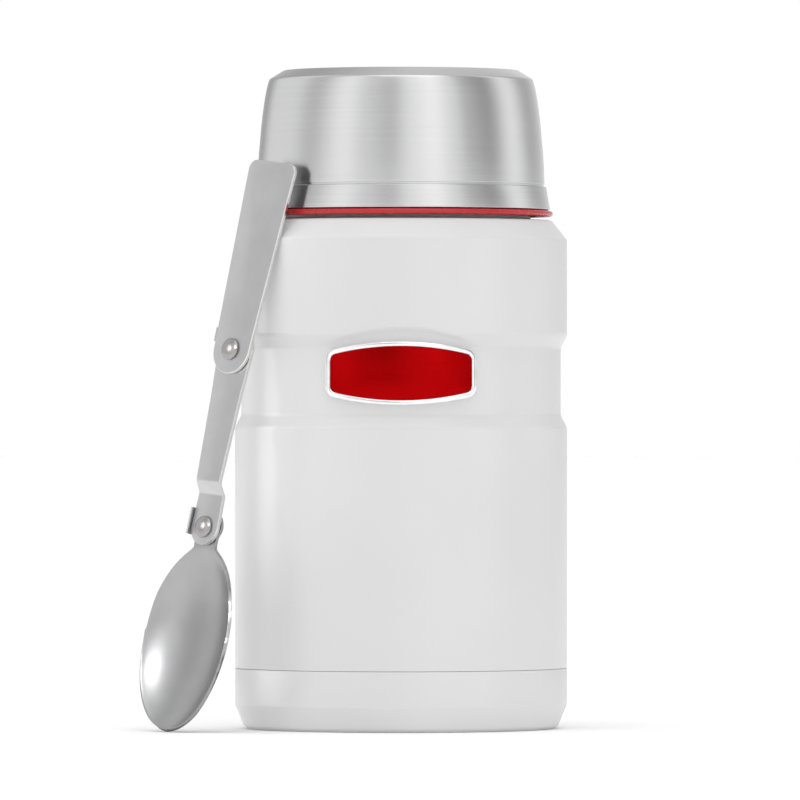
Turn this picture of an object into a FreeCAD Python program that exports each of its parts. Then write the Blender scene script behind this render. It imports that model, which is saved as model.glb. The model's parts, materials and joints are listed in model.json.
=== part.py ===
import FreeCAD, Part
import os
from math import copysign, cos, pi, radians, sin, sqrt, tan

os.makedirs("parts", exist_ok=True)

# Insulated food jar with a cup lid, a screw stopper and a folding spoon.
# Millimetres, +Z up. The origin is the centre of the base, on the surface it stands on.
# The badge faces -Y.

# Overall size
JAR_RADIUS = 50.0
JAR_HEIGHT = 198.0

# Base cap and the seam above it
FOOT_IN_R = 40.0
FOOT_OUT_R = 46.2
FOOT_RISE = 1.2
BASE_CHAMFER_Z = 7.3
BASE_CHAMFER_R = 47.4
SEAM_Z = 18.2
SEAM_GAP = 0.4
CAP_WALL = 0.8
CAP_GAP = 0.1

# Outer casing
CASING_WALL = 0.8
WAIST_R = 48.1
WAIST_LOW = (90.5, 94.3)
WAIST_HIGH = (114.6, 118.2)
SHOULDER_Z = 147.0
SHOULDER_TOP_R = 45.3
SHOULDER_TOP_Z = 153.1
CASING_FLOOR_Z = 2.9

# Neck and mouth
NECK_OUT_R = 39.0
MOUTH_R = 36.7
LIP_Z = 172.0

# Inner vessel
VESSEL_WALL = 0.6
VESSEL_R = 42.4
VESSEL_FLOOR_Z = 12.0
VESSEL_CORNER = 12.0
VESSEL_SHOULDER_Z = 142.0
VESSEL_NECK_Z = 152.0

# Badge and the arch pressed into the casing over it
BADGE_Z = 106.7
BADGE_W = 45.0
BADGE_H = 19.2
BADGE_CROWN = 2.6
BADGE_CORNER = 3.2
BEZEL_W = 1.7
BEZEL_PROUD = 1.7
PANEL_PROUD = 1.1
ARCH_HALF_W = 25.6
ARCH_FOOT_Z = 112.0
ARCH_PEAK_Z = 118.6
ARCH_SLOPE = 1.9

# Stopper
PLUG_R = 35.0
PLUG_LOW_Z = 150.0
PLUG_WALL = 1.8
FLANGE_R = 38.9
FLANGE_Z = 173.6
FLANGE_T = 1.6
SEAL_LIFT = 0.08
GRIP_TOP_Z = 188.0
GRIP_R = 37.4
TRAY_R = 33.0
TRAY_FLOOR_Z = 177.4
FLUTES = 18
FLUTE_R = 2.6

# Cup lid
SHELL_WALL = 0.8
RING_LOW_Z = 153.5
RING_TOP_Z = 156.0
RING_OUT_R = 45.7
RING_IN_R = 40.9
COLLAR_FOOT_R = 44.9
COLLAR_TOP_R = 43.7
COLLAR_TOP_Z = 163.0
CUP_FOOT_R = 43.2
CUP_MID = (42.3, 178.6)
CUP_TOP_R = 39.7
CUP_TOP_Z = 195.3
LID_DISC_R = 35.3
LINER_T = 1.3
LINER_FOOT_R = 41.0
LINER_TOP_R = 38.2
LINER_CEILING_Z = 193.0

# Folding spoon, in its own frame: x across, y along towards the handle's end, z out of the front face.
# Its origin is the handle rivet's centre on the shank's front face.
PLATE_T = 1.3
PLATE_GAP = 0.25
HANDLE_L = 57.0
HANDLE_END_R = 7.4
HANDLE_TOP_HALF_W = 8.8
HANDLE_CORNER = 3.0
HANDLE_CANT = 1.2
SHANK_L = 53.4
SHANK_TOP_R = 7.0
SHANK_WAIST_HALF_W = 4.8
SHANK_END_R = 5.4
JOG = 2.5
JOG_LOW = 7.8
JOG_HIGH = 13.4
BEND_R = 1.6
BOWL_PLATE_R = 5.5
NECK_HALF_W = 4.3
NECK_L = 6.5
BOWL_HALF_W = 17.6
BOWL_TIP_L = 29.2
BOWL_NECK_L = 26.2
BOWL_DEPTH = 7.4
BOWL_WALL = 1.0
BOWL_STEEPNESS = 0.43
BOWL_LOWEST = 0.998
BOWL_SLICES = 7
BOWL_POINTS = 24
RIVET_R = 1.6
RIVET_HOLE_R = 1.65
HEAD_R = 3.3
HEAD_H = 1.6
TAIL_R = 2.7
TAIL_H = 0.9
TAB_T = 1.0

# How the spoon stands: leaning on the shoulder, in front of the jar and to its left
SPOON_TILT = 11.6
SPOON_LEAN = 5.5
SPOON_TURN = 45.0
SPOON_X = -49.6
SPOON_Z = 113.6
SPOON_SET_IN = 1.1


def vec(x, y, z=0.0):
    return FreeCAD.Vector(x, y, z)


def revolved(points):
    """A solid of revolution about Z from the (radius, height) corners of its half section."""
    corners = [vec(r, 0, z) for r, z in points]
    face = Part.Face(Part.makePolygon(corners + corners[:1]))
    return face.revolve(vec(0, 0, 0), vec(0, 0, 1), 360)


def arc_points(centre, radius, start, end, steps):
    """Points on an arc in the half section, for a rounded corner. Angles in degrees."""
    r0, z0 = centre
    angles = [start + (end - start) * i / steps for i in range(steps + 1)]
    return [(r0 + radius * cos(radians(a)), z0 + radius * sin(radians(a))) for a in angles]


def tube(r_in, r_out, z_low, z_high):
    outer = Part.makeCylinder(r_out, z_high - z_low, vec(0, 0, z_low))
    return outer.cut(Part.makeCylinder(r_in, z_high - z_low, vec(0, 0, z_low)))


def outer_form(inset):
    """The casing's outside, or its inside when inset by the wall."""
    r = JAR_RADIUS - inset
    tuck = JAR_RADIUS - CAP_WALL - CAP_GAP - inset
    floor = CASING_FLOOR_Z + inset
    bevel = inset * tan(radians(22.5))
    dimple_r = 8.0
    dimple_h = 1.5
    points = [
        (0, floor + dimple_h), (dimple_r - 1 + inset, floor + dimple_h), (dimple_r + inset, floor),
        (46.2 - inset, floor), (tuck, 8.6 + bevel), (tuck, SEAM_Z + SEAM_GAP / 2 + inset),
        (r, SEAM_Z + SEAM_GAP / 2 + inset),
        (r, WAIST_LOW[0] - bevel), (WAIST_R - inset, WAIST_LOW[1] - bevel),
        (WAIST_R - inset, WAIST_HIGH[0] + bevel), (r, WAIST_HIGH[1] + bevel),
        (r, SHOULDER_Z - bevel), (SHOULDER_TOP_R - bevel, SHOULDER_TOP_Z - inset),
        (NECK_OUT_R - inset, SHOULDER_TOP_Z - inset), (NECK_OUT_R - inset, LIP_Z - VESSEL_WALL),
        (0, LIP_Z - VESSEL_WALL)]
    return revolved(points)


def front_wire(points_and_mids, y):
    """A closed outline seen from the front, of straight runs and three-point arcs, at depth y."""
    edges = []
    count = len(points_and_mids)
    for i, (x, z, mid) in enumerate(points_and_mids):
        x2, z2, _ = points_and_mids[(i + 1) % count]
        start, end = vec(x, y, z), vec(x2, y, z2)
        if mid:
            edges.append(Part.Arc(start, vec(mid[0], y, mid[1]), end).toShape())
        else:
            edges.append(Part.LineSegment(start, end).toShape())
    return Part.Wire(edges)


def arch_pocket(inset):
    """What the arch over the badge takes out of the casing, with a sloping edge."""
    def outline(grow, y):
        half, foot, peak = ARCH_HALF_W + grow, ARCH_FOOT_Z, ARCH_PEAK_Z + grow
        low = BADGE_Z
        return front_wire([(-half, low, None), (-half, foot, (0, peak)),
                           (half, foot, None), (half, low, None)], y)
    reach = 2.5
    body = Part.makeLoft([outline(inset, -(WAIST_R - inset)),
                          outline(inset + ARCH_SLOPE * reach / (JAR_RADIUS - WAIST_R),
                                  -(WAIST_R - inset) - reach)], True, True)
    behind = outline(inset, -(WAIST_R - inset))
    body = body.fuse(Part.Face(behind).extrude(vec(0, 14, 0)))
    return body.cut(Part.makeCylinder(WAIST_R - inset, JAR_HEIGHT))


def outer_casing():
    outside = outer_form(0).cut(arch_pocket(0))
    inside = outer_form(CASING_WALL).cut(arch_pocket(CASING_WALL))
    opening = Part.makeCylinder(NECK_OUT_R - CASING_WALL, 20, vec(0, 0, LIP_Z - VESSEL_WALL - 1))
    return outside.cut(inside).cut(opening)


def base_cap():
    inner_floor = FOOT_RISE + 1.2
    top = SEAM_Z - SEAM_GAP / 2
    return revolved([
        (0, FOOT_RISE), (FOOT_IN_R - 0.6, FOOT_RISE), (FOOT_IN_R, 0), (FOOT_OUT_R, 0),
        (BASE_CHAMFER_R, 1.0), (JAR_RADIUS, BASE_CHAMFER_Z), (JAR_RADIUS, top),
        (JAR_RADIUS - CAP_WALL, top), (JAR_RADIUS - CAP_WALL, BASE_CHAMFER_Z + 0.4),
        (BASE_CHAMFER_R - 0.9, inner_floor), (0, inner_floor)])


def base_disc():
    """The round plate set into the hollow of the foot."""
    return revolved([(0, 0.5), (FOOT_IN_R - 2.6, 0.5), (FOOT_IN_R - 2.2, 0.8),
                     (FOOT_IN_R - 2.2, FOOT_RISE), (0, FOOT_RISE)])


def vessel_form(grow):
    """The food space, or the vessel's outside when grown by its wall."""
    r = VESSEL_R + grow
    floor = VESSEL_FLOOR_Z - grow
    corner = VESSEL_CORNER + grow
    turn = (r - MOUTH_R - grow) / 2
    mid_z = (VESSEL_SHOULDER_Z + VESSEL_NECK_Z) / 2
    half = (VESSEL_NECK_Z - VESSEL_SHOULDER_Z) / 2
    shoulder = [(MOUTH_R + grow + turn * (1 + cos(pi * i / 6)), mid_z + half * (i / 3 - 1))
                for i in range(7)]
    return revolved([(0, floor)]
                    + arc_points((r - corner, floor + corner), corner, -90, 0, 6)
                    + shoulder
                    + [(MOUTH_R + grow, LIP_Z), (0, LIP_Z)])


def inner_vessel():
    lip = tube(MOUTH_R, NECK_OUT_R, LIP_Z - VESSEL_WALL, LIP_Z)
    return vessel_form(VESSEL_WALL).cut(vessel_form(0)).fuse(lip).removeSplitter()


def heat_shield():
    """Foil wrapped round the vessel inside the vacuum."""
    inner, outer = VESSEL_R + VESSEL_WALL + 0.06, VESSEL_R + VESSEL_WALL + 0.3
    return tube(inner, outer, VESSEL_FLOOR_Z + VESSEL_CORNER, VESSEL_SHOULDER_Z - 3)


def getter_capsule():
    """The gas absorber on the casing's floor, inside the vacuum."""
    centre = vec(20, 0, CASING_FLOOR_Z + CASING_WALL)
    body = Part.makeCylinder(5, 2, centre)
    return body.makeChamfer(0.4, [e for e in body.Edges if e.BoundBox.ZMin > centre.z + 1.9])


def vacuum_seal():
    """The bead that closes the pumping hole, in the dimple under the casing."""
    return revolved([(0, CASING_FLOOR_Z + 0.1), (3.6, CASING_FLOOR_Z + 0.1),
                     (4.6, CASING_FLOOR_Z + 0.7), (4.6, CASING_FLOOR_Z + 1.5),
                     (0, CASING_FLOOR_Z + 1.5)])


def plaque(inset, r_in, r_out):
    """A cushion-shaped plate, bent to the waist: both long edges crowned, corners rounded."""
    half_w, half_h = BADGE_W / 2 - inset, BADGE_H / 2 - inset
    side_h = half_h - BADGE_CROWN
    corner = BADGE_CORNER - inset * 0.5
    low, high = BADGE_Z - side_h, BADGE_Z + side_h
    wire = front_wire([(-half_w, low, None), (-half_w, high, (0, BADGE_Z + half_h)),
                       (half_w, high, None), (half_w, low, (0, BADGE_Z - half_h))], -r_out - 2)
    body = Part.Face(wire).extrude(vec(0, r_out / 3, 0))
    ends = [e for e in body.Edges if e.BoundBox.YLength > 1 and e.BoundBox.XLength < 0.01]
    body = body.makeFillet(corner, ends)
    return body.common(tube(r_in, r_out, BADGE_Z - BADGE_H, BADGE_Z + BADGE_H))


def badge_bezel():
    rim = plaque(0, WAIST_R, WAIST_R + BEZEL_PROUD)
    return rim.cut(plaque(BEZEL_W, WAIST_R - 1, WAIST_R + BEZEL_PROUD + 1))


def badge_panel():
    return plaque(BEZEL_W + 0.05, WAIST_R, WAIST_R + PANEL_PROUD)


def stopper_body():
    """The plug, open above, with the flange that lies over the lip."""
    inner = PLUG_R - PLUG_WALL
    return revolved([
        (0, PLUG_LOW_Z), (PLUG_R - 2, PLUG_LOW_Z), (PLUG_R, PLUG_LOW_Z + 2), (PLUG_R, FLANGE_Z),
        (FLANGE_R, FLANGE_Z), (FLANGE_R, FLANGE_Z + FLANGE_T), (inner, FLANGE_Z + FLANGE_T),
        (inner, PLUG_LOW_Z + PLUG_WALL), (0, PLUG_LOW_Z + PLUG_WALL)])


def stopper_foam():
    return revolved([(0, PLUG_LOW_Z + PLUG_WALL + 0.2), (PLUG_R - PLUG_WALL - 0.4, PLUG_LOW_Z + PLUG_WALL + 0.2),
                     (PLUG_R - PLUG_WALL - 0.4, FLANGE_Z - 1.4), (0, FLANGE_Z - 1.4)])


def stopper_seal():
    """The silicone ring under the flange, with a bead that meets the lip."""
    inner, outer = PLUG_R + 0.35, FLANGE_R - 0.3
    mid = (inner + outer) / 2
    low = LIP_Z + SEAL_LIFT
    return revolved([(inner, FLANGE_Z - 0.05), (inner, low + 0.7), (mid - 0.9, low), (mid + 0.9, low),
                     (outer, low + 0.7), (outer, FLANGE_Z - 0.05)])


def stopper_cover():
    """The grip that closes the plug: a fluted rim round a tray that the folded spoon lies in."""
    foot = FLANGE_Z + FLANGE_T
    spigot = PLUG_R - PLUG_WALL - 0.1
    body = revolved([
        (0, FLANGE_Z - 0.8), (spigot, FLANGE_Z - 0.8), (spigot, foot), (FLANGE_R, foot),
        (FLANGE_R, foot + 2.0), (GRIP_R + 0.4, foot + 3.2), (GRIP_R, GRIP_TOP_Z - 1.6),
        (GRIP_R - 1.6, GRIP_TOP_Z), (TRAY_R + 0.8, GRIP_TOP_Z), (TRAY_R, GRIP_TOP_Z - 0.8),
        (TRAY_R, TRAY_FLOOR_Z + 2), (TRAY_R - 2, TRAY_FLOOR_Z), (0, TRAY_FLOOR_Z)])
    flute_foot = foot + 4.2
    for i in range(FLUTES):
        angle = 2 * pi * i / FLUTES
        reach = GRIP_R + FLUTE_R * 0.45
        centre = vec(reach * cos(angle), reach * sin(angle), flute_foot)
        flute = Part.makeCylinder(FLUTE_R, GRIP_TOP_Z, centre)
        body = body.cut(flute.fuse(Part.makeSphere(FLUTE_R, centre)))
    return body


def lid_shell():
    """The brushed cup: a flared collar, a step and a wall that draws in to the top disc."""
    def half_section(inset, low):
        mid_r, mid_z = CUP_MID
        a, b = vec(CUP_FOOT_R - inset, 0, COLLAR_TOP_Z + 1), vec(mid_r - inset, 0, mid_z)
        c = vec(CUP_TOP_R - inset, 0, CUP_TOP_Z - inset / 2)
        top = JAR_HEIGHT - inset
        corners = [c, vec(LID_DISC_R - inset / 2, 0, top), vec(0, 0, top), vec(0, 0, low),
                   vec(COLLAR_FOOT_R - inset, 0, low), vec(COLLAR_TOP_R - inset, 0, COLLAR_TOP_Z), a]
        edges = [Part.Arc(a, b, c).toShape()]
        edges += [Part.LineSegment(p, q).toShape() for p, q in zip(corners, corners[1:])]
        return Part.Face(Part.Wire(edges)).revolve(vec(0, 0, 0), vec(0, 0, 1), 360)
    return half_section(0, RING_TOP_Z + 0.1).cut(half_section(SHELL_WALL, RING_TOP_Z))


def lid_liner():
    """The plastic bowl inside the cup, which one eats from when the lid is turned over."""
    def form(grow, low):
        corner = 5.0 + grow
        top_r, top = LINER_TOP_R + grow, LINER_CEILING_Z + grow
        return revolved([(0, low), (LINER_FOOT_R + grow, low), (LINER_FOOT_R + grow - 0.6, COLLAR_TOP_Z + 8)]
                        + arc_points((top_r - corner, top - corner), corner, 0, 90, 5)
                        + [(0, top)])
    return form(LINER_T, RING_TOP_Z + 0.05).cut(form(0, RING_TOP_Z - 1))


def lid_insulation():
    low = LINER_CEILING_Z + LINER_T + 0.1
    return revolved([(0, low), (LID_DISC_R - 2, low), (LID_DISC_R - 3, JAR_HEIGHT - SHELL_WALL - 0.1),
                     (0, JAR_HEIGHT - SHELL_WALL - 0.1)])


def lid_trim_ring():
    half_h = (RING_TOP_Z - RING_LOW_Z) / 2
    mid = RING_LOW_Z + half_h
    edge = arc_points((RING_OUT_R - half_h * 0.8, mid), half_h, -90, 90, 6)
    edge = [(min(r, RING_OUT_R), z) for r, z in edge]
    return revolved([(RING_IN_R, RING_LOW_Z)] + edge + [(RING_IN_R, RING_TOP_Z)])


def flat_plate(outline, z_low, thickness):
    """A plate cut from strip. The outline is (x, y, arc middle or None) corners in the plate's plane."""
    edges = []
    for i, (x, y, mid) in enumerate(outline):
        x2, y2, _ = outline[(i + 1) % len(outline)]
        if mid:
            edges.append(Part.Arc(vec(x, y, z_low), vec(*mid, z_low), vec(x2, y2, z_low)).toShape())
        else:
            edges.append(Part.LineSegment(vec(x, y, z_low), vec(x2, y2, z_low)).toShape())
    return Part.Face(Part.Wire(edges)).extrude(vec(0, 0, thickness))


def hole(y):
    return Part.makeCylinder(RIVET_HOLE_R, 30, vec(0, y, -15))


def block(x, y, z):
    """A box from its lowest and highest corner along each axis."""
    return Part.makeBox(x[1] - x[0], y[1] - y[0], z[1] - z[0], vec(x[0], y[0], z[0]))


def spoon_handle():
    """A flat tapering grip with a round end at the rivet, canted a little to the right."""
    c = HANDLE_CORNER
    k = c * (1 - sqrt(0.5))
    w = HANDLE_TOP_HALF_W
    outline = [(-HANDLE_END_R, 0, None), (-w, HANDLE_L - c, (-w + k, HANDLE_L - k)),
               (-w + c, HANDLE_L, None), (w - c, HANDLE_L, (w - k, HANDLE_L - k)),
               (w, HANDLE_L - c, None), (HANDLE_END_R, 0, (0, -HANDLE_END_R))]
    plate = flat_plate(outline, PLATE_GAP, PLATE_T).cut(hole(0))
    plate.rotate(vec(0, 0, 0), vec(0, 0, 1), -HANDLE_CANT)
    return plate


def spoon_shank():
    """The link between the two rivets: its lower end is jogged back, so that the handle folds over
    the lower rivet's head, and its upper end carries the tab that stops the handle."""
    ramp_top, ramp_foot = -SHANK_L + JOG_HIGH, -SHANK_L + JOG_LOW
    r1, r2, w = SHANK_TOP_R, SHANK_END_R, SHANK_WAIST_HALF_W
    outline = [(-r1, 0, (0, r1)), (r1, 0, None), (w + 1.2, -14, None), (w, ramp_top, None),
               (w + 0.2, ramp_foot, None), (r2, -SHANK_L, (0, -SHANK_L - r2)), (-r2, -SHANK_L, None),
               (-w - 0.2, ramp_foot, None), (-w, ramp_top, None), (-w - 1.2, -14, None)]
    plan = flat_plate(outline, -10, 20)
    side = [(r1 + 1, 0), (ramp_top, 0), (ramp_foot, -JOG), (-SHANK_L - r2 - 1, -JOG),
            (-SHANK_L - r2 - 1, -JOG - PLATE_T), (ramp_foot - 0.3, -JOG - PLATE_T),
            (ramp_top - 0.3, -PLATE_T), (r1 + 1, -PLATE_T)]
    corners = [vec(-10, y, z) for y, z in side]
    strip = Part.Face(Part.makePolygon(corners + corners[:1])).extrude(vec(20, 0, 0))
    bends = [e for e in strip.Edges
             if e.BoundBox.XLength > 19 and ramp_foot - 1 < e.BoundBox.YMin < ramp_top + 1]
    link = strip.makeFillet(BEND_R, bends).common(plan)
    tab_in = HANDLE_END_R + 0.4
    ear = block((-tab_in - TAB_T, -3), (2.0, 6.2), (-PLATE_T, 0))
    tab = block((-tab_in - TAB_T, -tab_in), (2.0, 6.2), (-PLATE_T, PLATE_GAP + PLATE_T + 0.3))
    return link.fuse(ear).fuse(tab).removeSplitter().cut(hole(0)).cut(hole(-SHANK_L))


def bowl_outline(half_w, tip_l, neck_l, y, z):
    """An egg-shaped closed curve: blunter towards the tip, rounder towards the neck."""
    blunt = 0.93
    points = []
    for i in range(BOWL_POINTS):
        angle = 2 * pi * i / BOWL_POINTS
        c, s = cos(angle), sin(angle)
        power = blunt if s < 0 else 1.0
        reach = neck_l if s > 0 else tip_l
        points.append(vec(half_w * copysign(abs(c) ** power, c), y + reach * copysign(abs(s) ** power, s), z))
    curve = Part.BSplineCurve()
    curve.interpolate(Points=points, PeriodicFlag=True)
    return Part.Wire([curve.toShape()])


def bowl_form(inset):
    """The pressed bowl: level slices of an ellipsoid from the rim down, each smaller than the last."""
    shrink = sqrt(1 - BOWL_STEEPNESS ** 2)
    bowl_y = -SHANK_L - NECK_L - BOWL_NECK_L
    rim_z = -JOG - PLATE_T - PLATE_GAP
    slices = []
    for i in range(BOWL_SLICES):
        share = sin(pi / 2 * i / (BOWL_SLICES - 1))
        level = BOWL_STEEPNESS + (BOWL_LOWEST - BOWL_STEEPNESS) * share
        size = sqrt(1 - level ** 2) / shrink
        depth = (level - BOWL_STEEPNESS) / (1 - BOWL_STEEPNESS) * (BOWL_DEPTH - inset)
        slices.append(bowl_outline(BOWL_HALF_W * size - inset * size, BOWL_TIP_L * size - inset * size,
                                   BOWL_NECK_L * size - inset * size, bowl_y, rim_z - depth))
    return Part.makeLoft(slices, True)


def spoon_bowl():
    """The pressed bowl with its neck plate, and the flange that stops it against the shank."""
    front = -JOG - PLATE_T - PLATE_GAP
    r, w = BOWL_PLATE_R, NECK_HALF_W
    neck_y = -SHANK_L - NECK_L
    flare_y = neck_y - 5.5
    outline = [(-r, -SHANK_L, (0, -SHANK_L + r)), (r, -SHANK_L, None), (w, neck_y + 1, (w + 0.9, neck_y - 2.5)),
               (w + 4.4, flare_y, None), (-w - 4.4, flare_y, (-w - 0.9, neck_y - 2.5)), (-w, neck_y + 1, None)]
    plate = flat_plate(outline, front - PLATE_T, PLATE_T)
    flange_in = SHANK_END_R + 0.35
    y_low, y_high = -SHANK_L - 2.7, -SHANK_L + 5.4
    ear = block((-flange_in - TAB_T, -3), (y_low, y_high - 2.4), (front - PLATE_T, front))
    flange = block((-flange_in - TAB_T, -flange_in), (y_low, y_high), (front - PLATE_T, -JOG + 0.9))
    hollow = bowl_form(BOWL_WALL)
    pan = bowl_form(0)
    return pan.fuse(plate).cut(hollow).fuse(ear).fuse(flange).removeSplitter().cut(hole(-SHANK_L))


def rivet(y, front, back):
    """A domed head in front, a shank through both plates and a flat peened tail behind."""
    dome_r = (HEAD_R ** 2 + HEAD_H ** 2) / (2 * HEAD_H)
    dome = Part.makeSphere(dome_r, vec(0, y, front + HEAD_H - dome_r))
    dome = dome.common(Part.makeCylinder(HEAD_R, HEAD_H + 1, vec(0, y, front)))
    shank = Part.makeCylinder(RIVET_R, front - back, vec(0, y, back))
    tail = Part.makeCylinder(TAIL_R, TAIL_H, vec(0, y, back - TAIL_H))
    tail = tail.makeChamfer(0.3, [e for e in tail.Edges if e.BoundBox.ZMax < back - TAIL_H + 0.1])
    return dome.fuse(shank).fuse(tail).removeSplitter()


def handle_rivet():
    return rivet(0, PLATE_GAP + PLATE_T + 0.05, -PLATE_T)


def bowl_rivet():
    return rivet(-SHANK_L, -JOG, -JOG - 2 * PLATE_T - PLATE_GAP - 0.05)


def spoon_axes():
    """Unit vectors across, along and out of the spoon's face, in the jar's frame."""
    along = vec(tan(radians(SPOON_TILT)), tan(radians(SPOON_LEAN)), 1).normalize()
    to_viewer = vec(0, -1, 0)
    facing = (to_viewer - along * along.dot(to_viewer)).normalize()
    left = facing.cross(along)
    out = facing * cos(radians(SPOON_TURN)) + left * sin(radians(SPOON_TURN))
    return along.cross(out), along, out


def spoon_placement():
    """The handle leans on the edge of the shoulder. The jar curves away from the flat back of the
    handle, which lies this much inside the plane that would touch the shoulder."""
    across, along, out = spoon_axes()
    level = vec(out.x, out.y, 0).normalize() * JAR_RADIUS
    edge = level + vec(0, 0, SHOULDER_Z)
    reach = out.dot(edge) - SPOON_SET_IN + PLATE_T
    spoon_y = (reach - out.x * SPOON_X - out.z * SPOON_Z) / out.y
    matrix = FreeCAD.Matrix(across.x, along.x, out.x, SPOON_X,
                            across.y, along.y, out.y, spoon_y,
                            across.z, along.z, out.z, SPOON_Z,
                            0, 0, 0, 1)
    return FreeCAD.Placement(matrix)


def on_the_spoon(shape):
    shape.Placement = spoon_placement().multiply(shape.Placement)
    return shape


jar_pieces = [outer_casing, base_cap, base_disc, inner_vessel, heat_shield, getter_capsule, vacuum_seal,
              badge_bezel, badge_panel, stopper_body, stopper_foam, stopper_seal, stopper_cover,
              lid_shell, lid_liner, lid_insulation, lid_trim_ring]
spoon_pieces = [spoon_handle, spoon_shank, spoon_bowl, handle_rivet, bowl_rivet]

for make in jar_pieces + spoon_pieces:
    shape = make()
    if make in spoon_pieces:
        shape = on_the_spoon(shape)
    box = shape.BoundBox
    print(make.__name__, "solids", len(shape.Solids), "valid", shape.isValid(),
          "volume", round(shape.Volume, 1),
          "z", round(box.ZMin, 2), round(box.ZMax, 2), "y", round(box.YMin, 2), round(box.YMax, 2))
    shape.exportStep("parts/" + make.__name__ + ".step")

across, along, out = spoon_axes()
place = spoon_placement()
print("spoon out axis", [round(v, 5) for v in out], "handle rivet", [round(v, 3) for v in place.Base])
print("bowl rivet", [round(v, 3) for v in place.multVec(vec(0, -SHANK_L, -JOG))])
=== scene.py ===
import json
import math

import bmesh
import bpy
from mathutils import Matrix, Vector

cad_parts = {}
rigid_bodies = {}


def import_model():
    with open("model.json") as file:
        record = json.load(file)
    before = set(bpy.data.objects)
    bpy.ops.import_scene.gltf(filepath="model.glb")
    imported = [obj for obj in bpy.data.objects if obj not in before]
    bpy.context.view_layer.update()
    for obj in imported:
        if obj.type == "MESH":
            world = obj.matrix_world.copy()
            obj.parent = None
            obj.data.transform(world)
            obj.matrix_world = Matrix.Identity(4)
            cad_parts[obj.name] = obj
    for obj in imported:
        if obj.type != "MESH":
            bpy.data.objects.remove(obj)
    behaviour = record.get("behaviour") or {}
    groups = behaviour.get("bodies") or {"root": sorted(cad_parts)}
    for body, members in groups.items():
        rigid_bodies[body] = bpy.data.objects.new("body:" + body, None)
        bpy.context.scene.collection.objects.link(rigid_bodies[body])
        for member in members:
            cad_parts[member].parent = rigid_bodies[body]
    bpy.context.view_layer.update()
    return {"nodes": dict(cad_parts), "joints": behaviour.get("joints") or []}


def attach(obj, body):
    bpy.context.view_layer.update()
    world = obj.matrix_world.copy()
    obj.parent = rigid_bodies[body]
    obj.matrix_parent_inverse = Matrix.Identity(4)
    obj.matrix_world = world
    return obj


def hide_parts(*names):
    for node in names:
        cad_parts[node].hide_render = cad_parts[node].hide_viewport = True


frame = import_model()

scene = bpy.context.scene
MM = 0.001

# The photograph's frame, in its pixels, and the camera that gives it
IMAGE_PX = 800
AXIS_X_PX = 401
EYE_Y_PX = 416
PX_PER_MM = 3.32
CAMERA_MM = 3000
EYE_MM = 94

# Jar, in millimetres, as radius and height on its axis
BODY_R = 50.0
WAIST_R = 48.1
WAIST_LOW = (90.5, 94.3)
WAIST_HIGH = (114.6, 118.2)
SEAM_Z = 18.2
SEAM_GAP = 0.1
SPIGOT_STEP = 0.9
SPIGOT_H = 3.0
FOOT_IN_R = 40.0
FOOT_OUT_R = 46.2
FOOT_CHAMFER_Z = 7.3
FOOT_HOLLOW_Z = 1.2
FOOT_PLATE_R = 37.8
SHOULDER = (147.0, 152.85)
SHOULDER_TOP_R = 45.3
NECK_R = 39.0
MOUTH_R = 36.7
LIP_Z = 172.0
WALL = 0.8
VESSEL_R = 42.4
VESSEL_T = 0.6
VESSEL_FLOOR_Z = 12.0
VESSEL_CORNER = 12.0
VESSEL_SHOULDER = (142.0, 152.0)

# Badge and the arch pressed over it
BADGE_Z = 106.7
BADGE_W = 45.0
BADGE_H = 19.2
BADGE_CROWN = 2.6
BADGE_CORNER = 3.2
BADGE_POINTS = 160
BEZEL_W = 1.7
ENAMEL_EDGE = 0.75
ENAMEL_CROWN = 0.35
ARCH_HALF_W = 25.6
ARCH_FOOT_Z = 112.0
ARCH_PEAK_Z = 118.6
ARCH_SLOPE = 2.4
ARCH_SKIN = (WAIST_HIGH[0] - 3, 126.0)
ARCH_SKIN_STEP = 0.35

# Stopper and lid
FLANGE_R = 38.9
FLANGE_Z = 173.6
FLANGE_TOP_Z = 175.2
PLUG_R = 35.0
PLUG_LOW_Z = 150.0
PLUG_WALL = 1.8
TRAY_R = 34.6
TRAY_FLOOR_Z = 177.4
GRIP_R = 37.8
GRIP_LOW_Z = 172.8
GRIP_TOP_Z = 188.0
FLUTES = 18
FLUTE_DEPTH = 1.1
FLUTE_IN_R = 37.0
FLUTE_LOW_Z = 179.4
FLUTE_FADE = 1.6
SEAL_R = (35.35, 38.6)
RING_IN_R = 40.9
RING_R = 45.7
RING_LOW_Z = 154.0
RING_TOP_Z = 155.65
COLLAR_LOW_R = 44.95
COLLAR_TOP_R = 43.75
COLLAR_TOP_Z = 162.9
GROOVE_R = 43.0
GROOVE_Z = (163.1, 163.5)
CUP_SIDE = [(43.2, 164.0), (43.05, 169.0), (42.8, 173.0), (42.45, 177.0), (42.1, 181.0), (41.65, 185.0),
            (41.1, 189.0), (40.5, 192.3)]
CUP_EDGE = (39.7, 195.3)
CUP_TOP_R = 35.3
LID_TOP_Z = 198.0
LINER_T = 1.3
LINER_LOW_Z = 156.05
LINER_BEND = (40.4, 171.0)
LINER_CEILING_R = 38.2
LINER_CEILING_Z = 193.0

# Screw ridges. The section is (out of the wall, along it), as shares of a ridge's height and width
THREAD_LEAD = 6.0
THREAD_W = 2.0
THREAD_FADE_TURNS = 0.125
THREAD_STEPS = 96
THREAD_SECTION = [(-0.15, -0.5), (0.45, -0.36), (0.85, -0.22), (1.0, 0.0), (0.85, 0.22), (0.45, 0.36),
                  (-0.15, 0.5)]

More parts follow.
